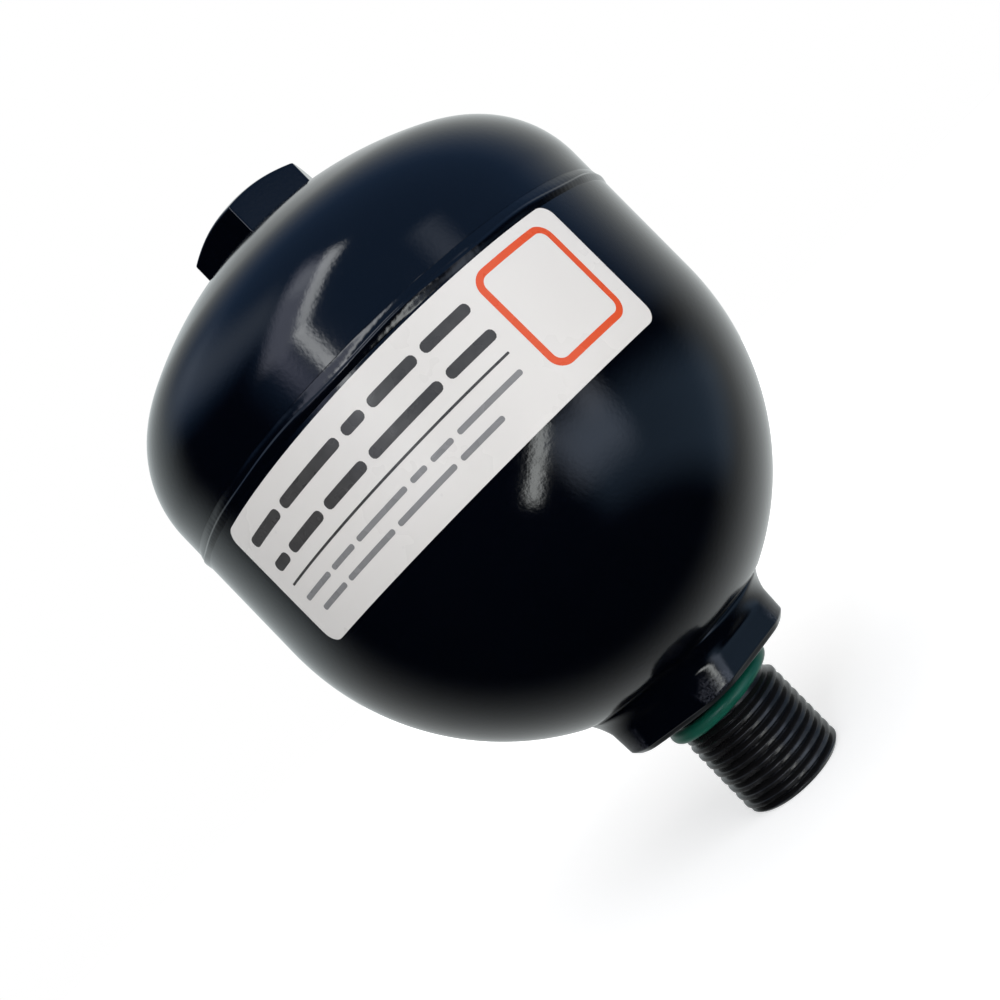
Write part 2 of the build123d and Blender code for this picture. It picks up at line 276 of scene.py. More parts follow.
# Fine specks and a thin uneven film of handling marks, which several finishes share.
handling, inside, result = new_group(
    "handling_marks",
    [("Place", "NodeSocketVector", (0, 0, 0)), ("Speck Size", "NodeSocketFloat", 0.0006)],
    [("Specks", "NodeSocketFloat"), ("Film", "NodeSocketFloat")],
)
speck_scale = calculate(handling, "DIVIDE", 1.0, inside.outputs["Speck Size"])
cell_inputs = {"Vector": inside.outputs["Place"], "Scale": speck_scale, "Randomness": 1.0}
cells = put_node(handling, "ShaderNodeTexVoronoi", cell_inputs)
cell_number = put_node(handling, "ShaderNodeSeparateColor", {"Color": cells.outputs["Color"]}).outputs[0]
chosen = ramp(handling, cell_number, 0.97, 0.99)
dot = ramp(handling, cells.outputs["Distance"], 0.1, 0.28, 1.0, 0.0)
handling.links.new(product(handling, chosen, dot), result.inputs["Specks"])
clouds = noise(handling, inside.outputs["Place"], 0.018, 4.0, 0.6)
handling.links.new(ramp(handling, clouds, 0.35, 0.7), result.inputs["Film"])


def handled(tree, speck_size):
    """Place on the piece, and the specks and film of the handling marks there."""
    place = object_place(tree)
    inputs = {"Place": place, "Speck Size": speck_size}
    marks = put_node(tree, "ShaderNodeGroup", inputs, node_tree=handling)
    return place, marks.outputs["Specks"], marks.outputs["Film"]


def speckled(tree, tone, specks, share, colour):
    """A tone with specks of a colour on it, share being how far they cover it."""
    return mix_colours(tree, product(tree, specks, share), tone, colour)


# Lower shell: the fluid half of the vessel, forged and turned from one piece of steel with its
# neck. Six spanner flats are milled on the neck: they lean out a little as they rise, and run out
# softly towards the bowl. The outside is sprayed in navy-black enamel.
vessel_radius = 51.0
wall = 4.0
bowl_radius = 53.5
bowl_height = 57.0
neck_radius = 20.5
neck_fillet = 5.0
seam_height = 79.6
weld_half_width = 1.3
weld_root_half = 0.4
flats_half = 19.0
flats_turn = math.radians(1.5 - 90)
flats_lean = 0.08
runout_start = 5.2
runout_height = 4.6
runout_depth = 2.6
low_sharpness = 90.0
high_sharpness = 14.0
recess_radius = 12.9
recess_depth = 0.4
relief_radius = 9.5
recess_round = 0.12
bore_radius = 5.0
bore_chamfer = 0.6
boss_chamfer = 1.1
edge_round = 0.3
floor_height = 10.2
floor_edge = 13.63
stub_root = 3.0

# The enamel is glossy, with faint specks, orange peel and slow waves. The round lands between the
# boss's flats are scuffed near the underside, where a spanner slipped; their lighter tone there is partly a
# painted highlight.
deep_enamel = (0.0005, 0.0009, 0.0022, 1)
light_enamel = (0.0009, 0.0015, 0.0034, 1)
speck_grey = (0.05, 0.055, 0.06, 1)
scuff_and_highlight_tone = (0.028, 0.03, 0.038, 1)
scuff_roughness = 0.14
land = neck_radius / 1000

enamel, tree, principled = new_material("navy_enamel", IOR=1.5, Specular_IOR_Level=0.5)
place, specks, film = handled(tree, 0.0009)
tone = mix_colours(tree, noise(tree, place, 0.03, 3.0), deep_enamel, light_enamel)
tone = speckled(tree, tone, specks, 0.06, speck_grey)
radius, height = from_axis(tree, place)
outside_flats = ramp(tree, radius, land - 0.0003, land - 0.0001)
inside_bowl = ramp(tree, radius, land + 0.0002, land + 0.0004, 1.0, 0.0)
ragged_height = calculate(tree, "ADD", height, product(tree, noise(tree, place, 0.003, 3.0), -0.006))
low_down = ramp(tree, ragged_height, -0.001, 0.0025, 1.0, 0.0)
scratches = ramp(tree, noise(tree, place, 0.0005, 3.0, 0.6), 0.3, 0.7)
scuff_and_highlight_mask = product(tree, outside_flats, inside_bowl, low_down, scratches)
# Scuffed lands near the underside: rougher, and painted lighter, partly as a painted highlight.
tone = mix_colours(tree, scuff_and_highlight_mask, tone, scuff_and_highlight_tone)
gloss = ramp(tree, film, 0.0, 1.0, 0.085, 0.125)
gloss = calculate(tree, "ADD", gloss, product(tree, scuff_and_highlight_mask, scuff_roughness))
orange_peel = bump(tree, noise(tree, place, 0.0007, 2.0), 0.000011)
slow_waves = bump(tree, noise(tree, place, 0.012, 1.0), 0.00004, orange_peel)
set_surface(tree, principled, tone, gloss, slow_waves)

bowl_r = vessel_radius - bowl_radius
fillet_r = neck_radius + neck_fillet
fillet_z = bowl_height - math.sqrt((neck_fillet + bowl_radius) ** 2 - (fillet_r - bowl_r) ** 2)
neck_angle = math.atan2(bowl_height - fillet_z, bowl_r - fillet_r)
inner_start = math.atan2(floor_height - bowl_height, floor_edge - bowl_r)

underside = section(
    (relief_radius, stub_root, 0),
    (relief_radius, recess_depth, 0),
    (recess_radius, recess_depth, recess_round),
    (recess_radius, 0, edge_round / 2),
    (neck_radius - boss_chamfer, 0, edge_round),
    (neck_radius, boss_chamfer, edge_round),
    (neck_radius, fillet_z, 0),
    spacing=0.4,
)
neck = arc(fillet_r, fillet_z, neck_fillet, math.pi, neck_angle, 0.22)
bowl = arc(bowl_r, bowl_height, bowl_radius, neck_angle - math.pi, 0)
upper = section(
    (vessel_radius, bowl_height, 0),
    (vessel_radius, seam_height - weld_half_width, edge_round),
    (vessel_radius - wall, seam_height - weld_root_half, 0),
    (vessel_radius - wall, bowl_height, 0),
)
inner_bowl = arc(bowl_r, bowl_height, bowl_radius - wall, 0, inner_start, 4.0)
bore = section(
    (floor_edge, floor_height, 0),
    (bore_radius, floor_height, bore_chamfer),
    (bore_radius, stub_root, 0),
    spacing=4.0,
)
profile = np.vstack([underside, neck[1:], bowl[1:], upper[1:], inner_bowl[1:], bore[1:]])
outside_rows = len(underside) + len(neck) - 1

columns = hexagon_columns(flats_turn, per_side=56, crowding=0.78)
r = np.repeat(profile[:, :1], len(columns), 1)
z = profile[:, 1:]
rise = np.clip((z - runout_start) / runout_height, 0, 1)
runout = runout_depth * rise**2 * (3 - 2 * rise)
cutter = flats_half + flats_lean * np.clip(z, 0, None) + runout
middles = flats_turn + math.pi / 6 + np.arange(6) * math.pi / 3
across = np.cos(columns[:, None] - middles).max(1)
sharpness = low_sharpness + (high_sharpness - low_sharpness) * rise
limit = soft_minimum(r, cutter / across, sharpness)
edge = soft_minimum(neck_radius, flats_half / across, low_sharpness)
under = recess_radius + (r - recess_radius) * (edge - recess_radius) / (neck_radius - recess_radius)
is_under = (z < boss_chamfer) & (r > recess_radius)
shaped = np.where(is_under, under, limit)
r[:outside_rows] = shaped[:outside_rows]
add_piece(
    "lower_shell",
    ring_points(r, z, columns),
    grid_faces(len(profile), len(columns)),
    enamel,
    "vessel",
    ["fluid_shell"],
)


# Port stub: the end of the same forging, left out of the spray and blacked, with a right-hand
# M22 thread cut on it, a relief for the seal ring at its root and the oil bore through it.
thread_radius = 11.0
thread_root = 9.85
pitch = 2.0
stub_end = -24.2
stub_chamfer = 0.8
relief_bottom = -5.5
thread_phase = 0.15
flank_foot = 0.98
flank_width = 0.66
flank_ease = 0.15
root_sharpness = 400.0
face_width = 1.2
dark_black = (0.0035, 0.0035, 0.004, 1)
light_black = (0.009, 0.0085, 0.0085, 1)
rubbed_and_lit_black = (0.028, 0.028, 0.029, 1)

black_steel, tree, principled = new_material("blacked_steel", IOR=1.5)
place, _, film = handled(tree, 0.0005)
radius, height = from_axis(tree, place)
on_crest = ramp(tree, radius, 0.0105, 0.0110)
worn = ramp(tree, noise(tree, place, 0.004, 4.0), 0.35, 0.7)
# Thread crests are painted lighter towards the stub's end: painted light from below, with some rubbing wear.
lit_and_rubbed_end = ramp(tree, height, -0.024, -0.010, 1.0, 0.25)
tone = mix_colours(tree, noise(tree, place, 0.0022, 4.0), dark_black, light_black)
tone = mix_colours(tree, product(tree, on_crest, worn, lit_and_rubbed_end), tone, rubbed_and_lit_black)
gloss = ramp(tree, film, 0.0, 1.0, 0.2, 0.3)
set_surface(tree, principled, tone, gloss, bump(tree, noise(tree, place, 0.0004, 3.0), 0.00001))


def thread_profile(height, angle):
    """Right-hand thread: turns are height over pitch less angle over a full turn. Across a turn the
    flank falls in a line from crest (0) to root (1), with both ends slightly eased."""
    turns = height / pitch - angle / (2 * np.pi) + thread_phase
    from_crest = np.abs(2 * (turns - np.floor(turns)) - 1)
    line = np.clip((flank_foot - from_crest) / flank_width, 0, 1)
    share = (1 - flank_ease) * line + flank_ease * line**2 * (3 - 2 * line)
    return thread_root + (thread_radius - thread_root) * share


stub = np.vstack(
    [
        section((relief_radius, stub_root, 0), (relief_radius, relief_bottom, 0), spacing=0.5),
        section(
            (relief_radius, relief_bottom, 0),
            (thread_radius, relief_bottom - (thread_radius - relief_radius), 0),
            (thread_radius, stub_end + stub_chamfer, 0),
            (thread_radius - stub_chamfer, stub_end, 0.15),
            (thread_radius - stub_chamfer - face_width, stub_end, 0),
            spacing=0.09,
        )[1:],
        section(
            (thread_radius - stub_chamfer - face_width, stub_end, 0),
            (bore_radius + bore_chamfer, stub_end, 0.1),
            (bore_radius, stub_end + bore_chamfer, 0.1),
            (bore_radius, stub_root, 0),
            spacing=3.0,
        )[1:],
    ]
)
columns = np.arange(208) * 2 * np.pi / 208
r = np.repeat(stub[:, :1], len(columns), 1)
z = np.repeat(stub[:, 1:], len(columns), 1)
threaded = (z < relief_bottom) & (z > stub_end) & (r > relief_radius)
r = np.where(threaded, soft_minimum(r, thread_profile(z, columns), root_sharpness), r)
add_piece(
    "port_stub",
    ring_points(r, z, columns),
    grid_faces(len(stub), len(columns)),
    black_steel,
    "vessel",
    ["fluid_shell"],
)


# Port seal: a moulded green nitrile ring, rolled up the stub into the relief and lying askew.
seal_ring_radius = 11.0
seal_section = 1.4
seal_drop = 3.3
seal_tilt = math.radians(3.8)

deep_green = (0.003, 0.088, 0.056, 1)
light_green = (0.0045, 0.118, 0.077, 1)
green_dust = (0.1, 0.16, 0.14, 1)

green_rubber, tree, principled = new_material("green_nitrile", IOR=1.5)
place, specks, film = handled(tree, 0.0006)
tone = mix_colours(tree, noise(tree, place, 0.003, 3.0), deep_green, light_green)
tone = speckled(tree, tone, specks, 0.4, green_dust)
gloss = ramp(tree, film, 0.0, 1.0, 0.28, 0.4)
set_surface(tree, principled, tone, gloss, bump(tree, noise(tree, place, 0.0005, 2.0), 0.000008))


def seal_ring(radius, half_section, tilt, height, around=180, across=36):
    """Torus: a circle of half_section carried round radius, then turned about Y by tilt."""
    angle = np.arange(around) * 2 * np.pi / around
    turn = np.arange(across)[:, None] * 2 * np.pi / across
    points = ring_points(radius + half_section * np.cos(turn), half_section * np.sin(turn), angle)
    x, y, z = points[..., 0], points[..., 1], points[..., 2]
    tilted = [x * math.cos(tilt) - z * math.sin(tilt), y, x * math.sin(tilt) + z * math.cos(tilt) + height]
    return np.stack(tilted, -1), grid_faces(across, around)


points, faces = seal_ring(seal_ring_radius, seal_section, seal_tilt, -seal_drop)
add_piece("green_seal", points, faces, green_rubber, "vessel", ["port_seal"])


# Gas shell: the upper half, a dome pressed from plate in the same enamel, thickened inside where
# the gas plug screws in.
gas_radius = 50.8
knuckle_height = 86.0
knuckle_radius = 22.0
crown_radius = 73.7
seat_radius = 15.6
plug_hole = 10.05
seal_groove = 12.15
groove_depth = 1.9
plug_boss = 15.0
plug_boss_depth = 12.0

knuckle_r = gas_radius - knuckle_radius
crown_z = knuckle_height - math.sqrt((crown_radius - knuckle_radius) ** 2 - knuckle_r**2)
knuckle_angle = math.atan2(knuckle_height - crown_z, knuckle_r)
seat_height = crown_z + math.sqrt(crown_radius**2 - seat_radius**2)
seat_angle = math.atan2(seat_height - crown_z, seat_radius)
inner_crown = crown_radius - wall
boss_meets_z = crown_z + math.sqrt(inner_crown**2 - plug_boss**2)
boss_meets = math.atan2(boss_meets_z - crown_z, plug_boss)
profile = np.vstack(
    [
        section(
            (gas_radius - wall, seam_height + weld_root_half, 0),
            (gas_radius, seam_height + weld_half_width, edge_round),
            (gas_radius, knuckle_height, 0),
        ),
        arc(knuckle_r, knuckle_height, knuckle_radius, 0, knuckle_angle, 0.9)[1:],
        arc(0, crown_z, crown_radius, knuckle_angle, seat_angle, 0.9)[1:],
        section(
            (seat_radius, seat_height, 0),
            (seal_groove, seat_height, 0),
            (seal_groove, seat_height - groove_depth, 0),
            (plug_hole, seat_height - groove_depth, 0),
            (plug_hole, seat_height - plug_boss_depth, 0),
            (plug_boss, seat_height - plug_boss_depth, 0.5),
            (plug_boss, boss_meets_z, 0),
        )[1:],
        arc(0, crown_z, inner_crown, boss_meets, knuckle_angle, 3.0)[1:],
        arc(knuckle_r, knuckle_height, knuckle_radius - wall, knuckle_angle, 0, 3.0)[1:],
    ]
)
columns = np.arange(240) * 2 * np.pi / 240
add_piece(
    "gas_dome",
    ring_points(profile[:, :1], profile[:, 1:], columns),
    grid_faces(len(profile), len(columns)),
    enamel,
    "vessel",
    ["gas_shell"],
)


# Girth weld: one run of filler metal round the joint, painted over with the shells. Its surface
# has the small overlapping ripples of the weld pool.
weld_crown = 0.27
feather_width = 0.42
feather_depth = 0.04
ripple_count = 250
ripple_height = 0.006
ripple_bend = 2.6
ripple_wander = 1.4
lean_height = 0.2
swell_height = 0.032
tilt_height = 0.05
bead_fullness = 1.6

columns = np.arange(900) * 2 * np.pi / 900
across = np.linspace(-1, 1, 19)[:, None]
random = np.random.default_rng(7)


def wandering(angle, waves, low, high):
    """Sum of sine waves round the axis with seeded phases: amplitude over the root of the count."""
    count = random.integers(low, high, waves)
    phase = random.uniform(0, 2 * np.pi, waves)
    return np.sin(angle[..., None] * count + phase).sum(-1) / math.sqrt(waves)


lean = wandering(columns, waves=5, low=2, high=14) * lean_height
swell = wandering(columns, waves=9, low=6, high=34) * swell_height
tilt_over = wandering(columns, waves=9, low=8, high=50) * tilt_height
wander = wandering(columns, waves=6, low=3, high=40) * ripple_wander
chevrons = np.cos(columns * ripple_count + across**2 * ripple_bend + wander) * ripple_height
crown = (1 - across**2) ** bead_fullness * (weld_crown + swell + tilt_over * across)
bead = crown + chevrons * (1 - across**4)
base_r = np.where(across < 0, vessel_radius, gas_radius) - feather_depth
outer_r = base_r + bead
outer_z = seam_height + across * (weld_half_width + feather_width) + lean * (1 - across**2)
inner_r = np.array([[gas_radius - wall], [vessel_radius - wall]])
inner_z = np.array([[seam_height + weld_root_half], [seam_height - weld_root_half]])
r = np.vstack([outer_r, np.repeat(inner_r, len(columns), 1)])
z = np.vstack([outer_z, np.repeat(inner_z, len(columns), 1)])
add_piece(
    "weld_bead",
    ring_points(r, z, columns),
    grid_faces(len(r), len(columns)),
    enamel,
    "vessel",
    ["girth_weld"],
)


# Inside: a moulded rubber diaphragm whose rim is clamped by a steel ring and whose middle grips a
# turned closing button. As the button lifts, the skin rolls up and turns inside out.
skin_thickness = 2.0
skin_gap = 0.3
bead_top = 75.4
bead_bottom = 69.4
bead_thickness = 3.2
button_top = 13.2
grip_radius = 5.05

dark_rubber = (0.012, 0.012, 0.012, 1)
bloomed_rubber = (0.02, 0.02, 0.021, 1)
rubber_dust = (0.09, 0.09, 0.09, 1)
bright_steel = (0.5, 0.5, 0.49, 1)
warm_steel = (0.58, 0.57, 0.55, 1)

black_rubber, tree, principled = new_material("black_nitrile", IOR=1.5)
place, specks, film = handled(tree, 0.0008)
tone = speckled(tree, mix_colours(tree, film, dark_rubber, bloomed_rubber), specks, 0.5, rubber_dust)
gloss = ramp(tree, film, 0.0, 1.0, 0.5, 0.65)
set_surface(tree, principled, tone, gloss, bump(tree, noise(tree, place, 0.0006, 3.0), 0.00002))

skin_r = vessel_radius - wall - skin_gap
skin_bowl = bowl_radius - wall - skin_gap
lower_meets = bowl_r + math.sqrt(skin_bowl**2 - (bowl_height - button_top) ** 2)
upper_bowl = skin_bowl - skin_thickness
upper_height = button_top + skin_thickness
upper_meets = bowl_r + math.sqrt(upper_bowl**2 - (bowl_height - upper_height) ** 2)
upper_end = math.atan2(upper_height - bowl_height, upper_meets - bowl_r)
lower_end = math.atan2(button_top - bowl_height, lower_meets - bowl_r)
profile = np.vstack(
    [
        section(
            (skin_r, bowl_height, 0),
            (skin_r, bead_top, 0.4),
            (skin_r - bead_thickness, bead_top, 0.4),
            (skin_r - skin_thickness, bead_bottom, 0),
            (skin_r - skin_thickness, bowl_height, 0),
        ),
        arc(bowl_r, bowl_height, upper_bowl, 0, upper_end)[1:],
        section(
            (upper_meets, upper_height, 0),
            (grip_radius, upper_height, 0),
            (grip_radius, button_top, 0),
            (lower_meets, button_top, 0),
        )[1:],
        arc(bowl_r, bowl_height, skin_bowl, lower_end, 0)[1:-1],
    ]
)
columns = np.arange(144) * 2 * np.pi / 144
skin_piece = add_piece(
    "diaphragm_skin",
    ring_points(profile[:, :1], profile[:, 1:], columns),
    grid_faces(len(profile), len(columns)),
    black_rubber,
    None,
    ["diaphragm"],
)
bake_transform(skin_piece)

turned_steel, tree, principled = new_material("turned_steel", Metallic=1.0)
place, _, film = handled(tree, 0.0005)
tool_lines = put_node(
    tree,
    "ShaderNodeTexWave",
    {"Vector": place, "Scale": 1500.0, "Distortion": 1.5, "Detail": 2.0},
    wave_type="RINGS",
    rings_direction="Z",
)
tone = mix_colours(tree, film, bright_steel, warm_steel)
gloss = ramp(tree, film, 0.0, 1.0, 0.22, 0.36)
set_surface(tree, principled, tone, gloss, bump(tree, tool_lines.outputs["Fac"], 0.000003))
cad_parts["closing_button"].material_slots[0].material = turned_steel
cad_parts["clamp_ring"].material_slots[0].material = black_steel
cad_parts["gas_plug_seal"].material_slots[0].material = black_rubber


# Gas plug: a hexagon-headed screw plug in the same enamel. Turning left a shallow cone on top of
# the hexagon, and the head is bored for the charging screw.
head_half = 13.25
head_height = 8.2
crown_edge = 12.45
crown_slope = math.tan(math.radians(25.0))
head_turn = math.radians(-6.5 - 90)
pocket_radius = 6.8
pocket_depth = 7.0
shank_radius = 10.0
shank_length = 12.0
screw_hole = 4.05
screw_hole_depth = 7.5
passage = 2.0
end_chamfer = 1.0
mouth_chamfer = 0.3
under_head_round = 0.6
flat_rows_end = 5.2
cone_rows_start = 5.4
top_row_gap = 0.02
corner_sharpness = 110.0
cone_sharpness = 70.0

head_top = seat_height + head_height
shank_bottom = seat_height - shank_length
pocket_floor = head_top - pocket_depth
flat_rows = np.linspace(0, flat_rows_end, 8)
cone_rows = np.linspace(cone_rows_start, head_height - top_row_gap, 34)
side = np.concatenate([flat_rows, cone_rows])
side_r = np.full_like(side, crown_edge) + (head_height - side) / crown_slope
profile = np.vstack(
    [
        section(
            (screw_hole, pocket_floor, 0),
            (screw_hole, pocket_floor - screw_hole_depth, 0),
            (passage, pocket_floor - screw_hole_depth, 0),
            (passage, shank_bottom, 0),
            (shank_radius - end_chamfer, shank_bottom, 0),
            (shank_radius, shank_bottom + end_chamfer, 0),
            (shank_radius, seat_height, 0),
            (head_half - under_head_round, seat_height, 0),
        ),
        np.stack([side_r, seat_height + side], 1),
        section(
            (crown_edge, head_top, 0),
            (pocket_radius + mouth_chamfer, head_top, 0),
            (pocket_radius, head_top - mouth_chamfer, 0.1),
            (pocket_radius, pocket_floor, 0),
            (screw_hole, pocket_floor, 0),
            spacing=1.5,
        )[:-1],
    ]
)
columns = hexagon_columns(head_turn, per_side=40, crowding=0.86)
r = np.repeat(profile[:, :1], len(columns), 1)
reach = hexagon_reach(columns, head_half, head_turn, corner_sharpness)
on_side = (profile[:, :1] > crown_edge) & (profile[:, 1:] >= seat_height)
r = np.where(on_side, soft_minimum(r, np.broadcast_to(reach, r.shape), cone_sharpness), r)
add_piece(
    "plug_head",
    ring_points(r, profile[:, 1:], columns),
    grid_faces(len(profile), len(columns)),
    enamel,
    "vessel",
    ["gas_plug"],
)


# Charging screw: a turned socket-head screw on a copper ring, loosened to let nitrogen in.
bright_copper = (0.62, 0.27, 0.16, 1)
dull_copper = (0.42, 0.18, 0.11, 1)

copper, tree, principled = new_material("soft_copper", Metallic=1.0)
place, _, film = handled(tree, 0.0004)
tone = mix_colours(tree, film, bright_copper, dull_copper)
set_surface(tree, principled, tone, ramp(tree, film, 0.0, 1.0, 0.25, 0.42))
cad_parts["charging_screw_seal"].material_slots[0].material = copper
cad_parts["charging_screw"].material_slots[0].material = turned_steel


# Sticker: white vinyl film, printed and stuck round the front of the lower shell a little out of
# level. It follows the shell, and the print is a thin layer of ink on it.
sticker_width = 80.0
sticker_height = 24.8
sticker_corner = 2.4
sticker_middle = 65.15
sticker_turn = math.radians(-93.5)
sticker_tilt = math.radians(0.95)
film_under = 0.02
film_over = 0.12
ink_over = 0.135

cool_vinyl = (0.72, 0.7, 0.675, 1)
warm_vinyl = (0.76, 0.74, 0.72, 1)
vinyl_dust = (0.35, 0.35, 0.36, 1)

vinyl, tree, principled = new_material("white_vinyl", IOR=1.47)
place, specks, film = handled(tree, 0.0012)
tone = mix_colours(tree, noise(tree, place, 0.03, 3.0), cool_vinyl, warm_vinyl)
tone = speckled(tree, tone, specks, 0.12, vinyl_dust)
gloss = ramp(tree, film, 0.0, 1.0, 0.27, 0.31)
set_surface(tree, principled, tone, gloss, bump(tree, noise(tree, place, 0.009, 1.0), 0.00002))


def on_shell(across, up, over):
    """A point of the flat sticker, across and up from its middle, tilted and wrapped on the shell:
    angle is the distance across over the radius, and the radius follows the bowl below its edge."""
    turned_across = across * math.cos(sticker_tilt) - up * math.sin(sticker_tilt)
    height = sticker_middle + across * math.sin(sticker_tilt) + up * math.cos(sticker_tilt)
    below = np.maximum(bowl_height - height, 0)
    radius = bowl_r + np.sqrt(bowl_radius**2 - below**2) + over
    return ring_points(radius, height, sticker_turn + turned_across / vessel_radius)


def plate_faces(rows, columns):
    """Faces of a closed thin plate: an upper and a lower grid, joined round their edges."""
    top = grid_faces(rows, columns, False, False)
    under = top[:, ::-1] + rows * columns
    edge = np.concatenate(
        [
            np.arange(columns),
            np.arange(1, rows) * columns + columns - 1,
            (rows - 1) * columns + np.arange(columns - 2, -1, -1),
            np.arange(rows - 2, 0, -1) * columns,
        ]
    )
    following = np.roll(edge, -1)
    rim = np.stack([edge, edge + rows * columns, following + rows * columns, following], 1)
    return np.vstack([top, under, rim])


def patch(width, height, corner, middle_across, middle_up, low, high, rows=9, columns=9):
    """A rounded rectangle of film: each row's half width is cut back by the corner's quarter circle,
    c - sqrt(c^2 - d^2), where d is how far the row runs into the corner."""
    bend = np.sin(np.linspace(-np.pi / 2, np.pi / 2, rows)) * height / 2
    into = np.clip(np.abs(bend) - (height / 2 - corner), 0, corner)
    half = width / 2 - corner + np.sqrt(corner**2 - into**2)
    across = np.linspace(-1, 1, columns)[None] * half[:, None] + middle_across
    up = np.broadcast_to((bend + middle_up)[:, None], across.shape)
    points = np.stack([on_shell(across, up, high), on_shell(across, up, low)])
    return points.reshape(-1, 3), plate_faces(rows, columns)


def add_patches(name, patches, material):
    """Joins several patches into one piece on the vessel."""
    points, faces, start = [], [], 0
    for patch_points, patch_faces in patches:
        points.append(patch_points)
        faces.append(patch_faces + start)
        start += len(patch_points)
    return add_piece(name, np.vstack(points), np.vstack(faces), material, "vessel")


film_piece = add_patches(
    "sticker_film",
    [patch(sticker_width, sticker_height, sticker_corner, 0, 0, film_under, film_over, 41, 161)],
    vinyl,
)
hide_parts("label")


def ink(name, colour, worn):
    """Printing ink: its colour, slightly uneven, under the film's satin gloss."""
    material, tree, principled = new_material(name, IOR=1.47)
    place = object_place(tree)
    tone = mix_colours(tree, noise(tree, place, 0.0016, 4.0), colour, worn)
    gloss = ramp(tree, noise(tree, place, 0.004, 2.0), 0.3, 0.7, 0.24, 0.34)
    set_surface(tree, principled, tone, gloss)
    return material


dark_ink = ink("charcoal_ink", (0.04, 0.039, 0.039, 1), (0.075, 0.073, 0.072, 1))
grey_ink = ink("grey_ink", (0.2, 0.2, 0.205, 1), (0.26, 0.26, 0.265, 1))
orange_ink = ink("orange_ink", (0.75, 0.075, 0.018, 1), (0.7, 0.1, 0.03, 1))


line_start = -36.4
indented_start = -34.9
big_bar = {"thickness": 1.9, "gap": 1.3}
small_bar = {"thickness": 0.95, "gap": 1.1}
end_rounding = 0.45
column_spacing = 0.8


def bars(lengths, start, up, thickness, gap):
    """A row of round-ended bars of the given lengths, from start to the right."""
    row = []
    corner = thickness * end_rounding
    for length in lengths:
        middle = start + length / 2
        columns = max(4, int(length / column_spacing) + 2)
        row.append(patch(length, thickness, corner, middle, up, film_over, ink_over, 7, columns))
        start += length + gap
    return row


big_rows = bars((9.6, 14.8, 4.4, 9.6, 9.6), line_start, 7.7, **big_bar)
big_rows += bars((4.4, 9.6, 9.6, 14.8, 9.6), line_start, 2.4, **big_bar)
rule = patch(
    width=52.6,
    height=0.42,
    corner=0.1,
    middle_across=-10.2,
    middle_up=-1.2,
    low=film_over,
    high=ink_over,
    rows=5,
    columns=60,
)
add_patches("sticker_print_dark", big_rows + [rule], dark_ink)
small_rows = bars((8.2, 6.0, 11.6, 3.2, 4.4, 13.0), line_start, -4.4, **small_bar)
small_rows += bars((7.6, 11.8, 12.4, 8.6), indented_start, -7.4, **small_bar)
add_patches("sticker_print_grey", small_rows, grey_ink)


def rounded_frame(width, height, corner, stroke, middle_across, middle_up):
    """Outline of a rounded rectangle: four quarter circles joined by straight sides, walked in even
    steps of its length, once along the outer edge and once a stroke further in."""
    bend = np.linspace(0, np.pi / 2, 10) + np.arange(4)[:, None] * np.pi / 2
    side = np.array([[1, 1], [-1, 1], [-1, -1], [1, -1]]) * (width / 2 - corner, height / 2 - corner)
    loops = []
    for inset in (0.0, stroke):
        c = corner - inset
        across = (side[:, :1] + c * np.cos(bend)).ravel()
        up = (side[:, 1:] + c * np.sin(bend)).ravel()
        loops.append(np.append(np.stack([across, up], 1), [[across[0], up[0]]], 0))
    length = np.append(0, np.cumsum(np.linalg.norm(np.diff(loops[0], axis=0), axis=1)))
    step = np.union1d(np.linspace(0, length[-1], 110), length)[:-1]
    rings = []
    for loop, over in ((0, ink_over), (1, ink_over), (1, film_over), (0, film_over)):
        across = np.interp(step, length, loops[loop][:, 0]) + middle_across
        up = np.interp(step, length, loops[loop][:, 1]) + middle_up
        rings.append(on_shell(across, up, over))
    return np.stack(rings).reshape(-1, 3), grid_faces(4, len(step))


orange_frame = rounded_frame(
    width=17.0,
    height=19.2,
    corner=2.8,
    stroke=1.2,
    middle_across=28.0,
    middle_up=0.9,
)
add_patches("sticker_print_orange", [orange_frame], orange_ink)


# Floor and light: a white floor under the stub, a bright room behind the vessel, a darker one in
# front of it, and soft window light from high in front.
floor_half = 3.0
floor_corners = ((-1, -1), (1, -1), (1, 1), (-1, 1))
floor_points = [(x * floor_half, y * floor_half, stub_end / 1000) for x, y in floor_corners]
floor_mesh = bpy.data.meshes.new("floor")
floor_mesh.from_pydata(floor_points, [], [(0, 1, 2, 3)])
floor = bpy.data.objects.new("floor", floor_mesh)
bpy.context.scene.collection.objects.link(floor)
floor.visible_glossy = False
floor_material = bpy.data.materials.new("white_floor")
floor_material.use_nodes = True
tree = floor_material.node_tree
principled = tree.nodes["Principled BSDF"]
principled.inputs["Base Color"].default_value = (0.85, 0.85, 0.85, 1)
principled.inputs["Roughness"].default_value = 0.9
principled.inputs["Specular IOR Level"].default_value = 0.0
principled.inputs["Emission Color"].default_value = (1, 1, 1, 1)
seen = put_node(tree, "ShaderNodeLightPath").outputs["Is Camera Ray"]
place = object_place(tree)
far = put_node(tree, "ShaderNodeVectorMath", {0: place}, operation="LENGTH").outputs["Value"]
lift = ramp(tree, far, 0.08, 0.4, 0.52, 1.0)
tree.links.new(product(tree, seen, lift), principled.inputs["Emission Strength"])
floor_mesh.materials.append(floor_material)

world = bpy.data.worlds.new("studio")
bpy.context.scene.world = world
world.use_nodes = True
tree = world.node_tree
direction = put_node(tree, "ShaderNodeTexCoord").outputs["Generated"]
parts = put_node(tree, "ShaderNodeSeparateXYZ", {"Vector": direction}).outputs
to_degrees = math.degrees(1)
front = product(tree, parts["Y"], -1.0)
azimuth = product(tree, calculate(tree, "ARCTAN2", parts["X"], front), to_degrees)
elevation = product(tree, calculate(tree, "ARCSINE", parts["Z"]), to_degrees)


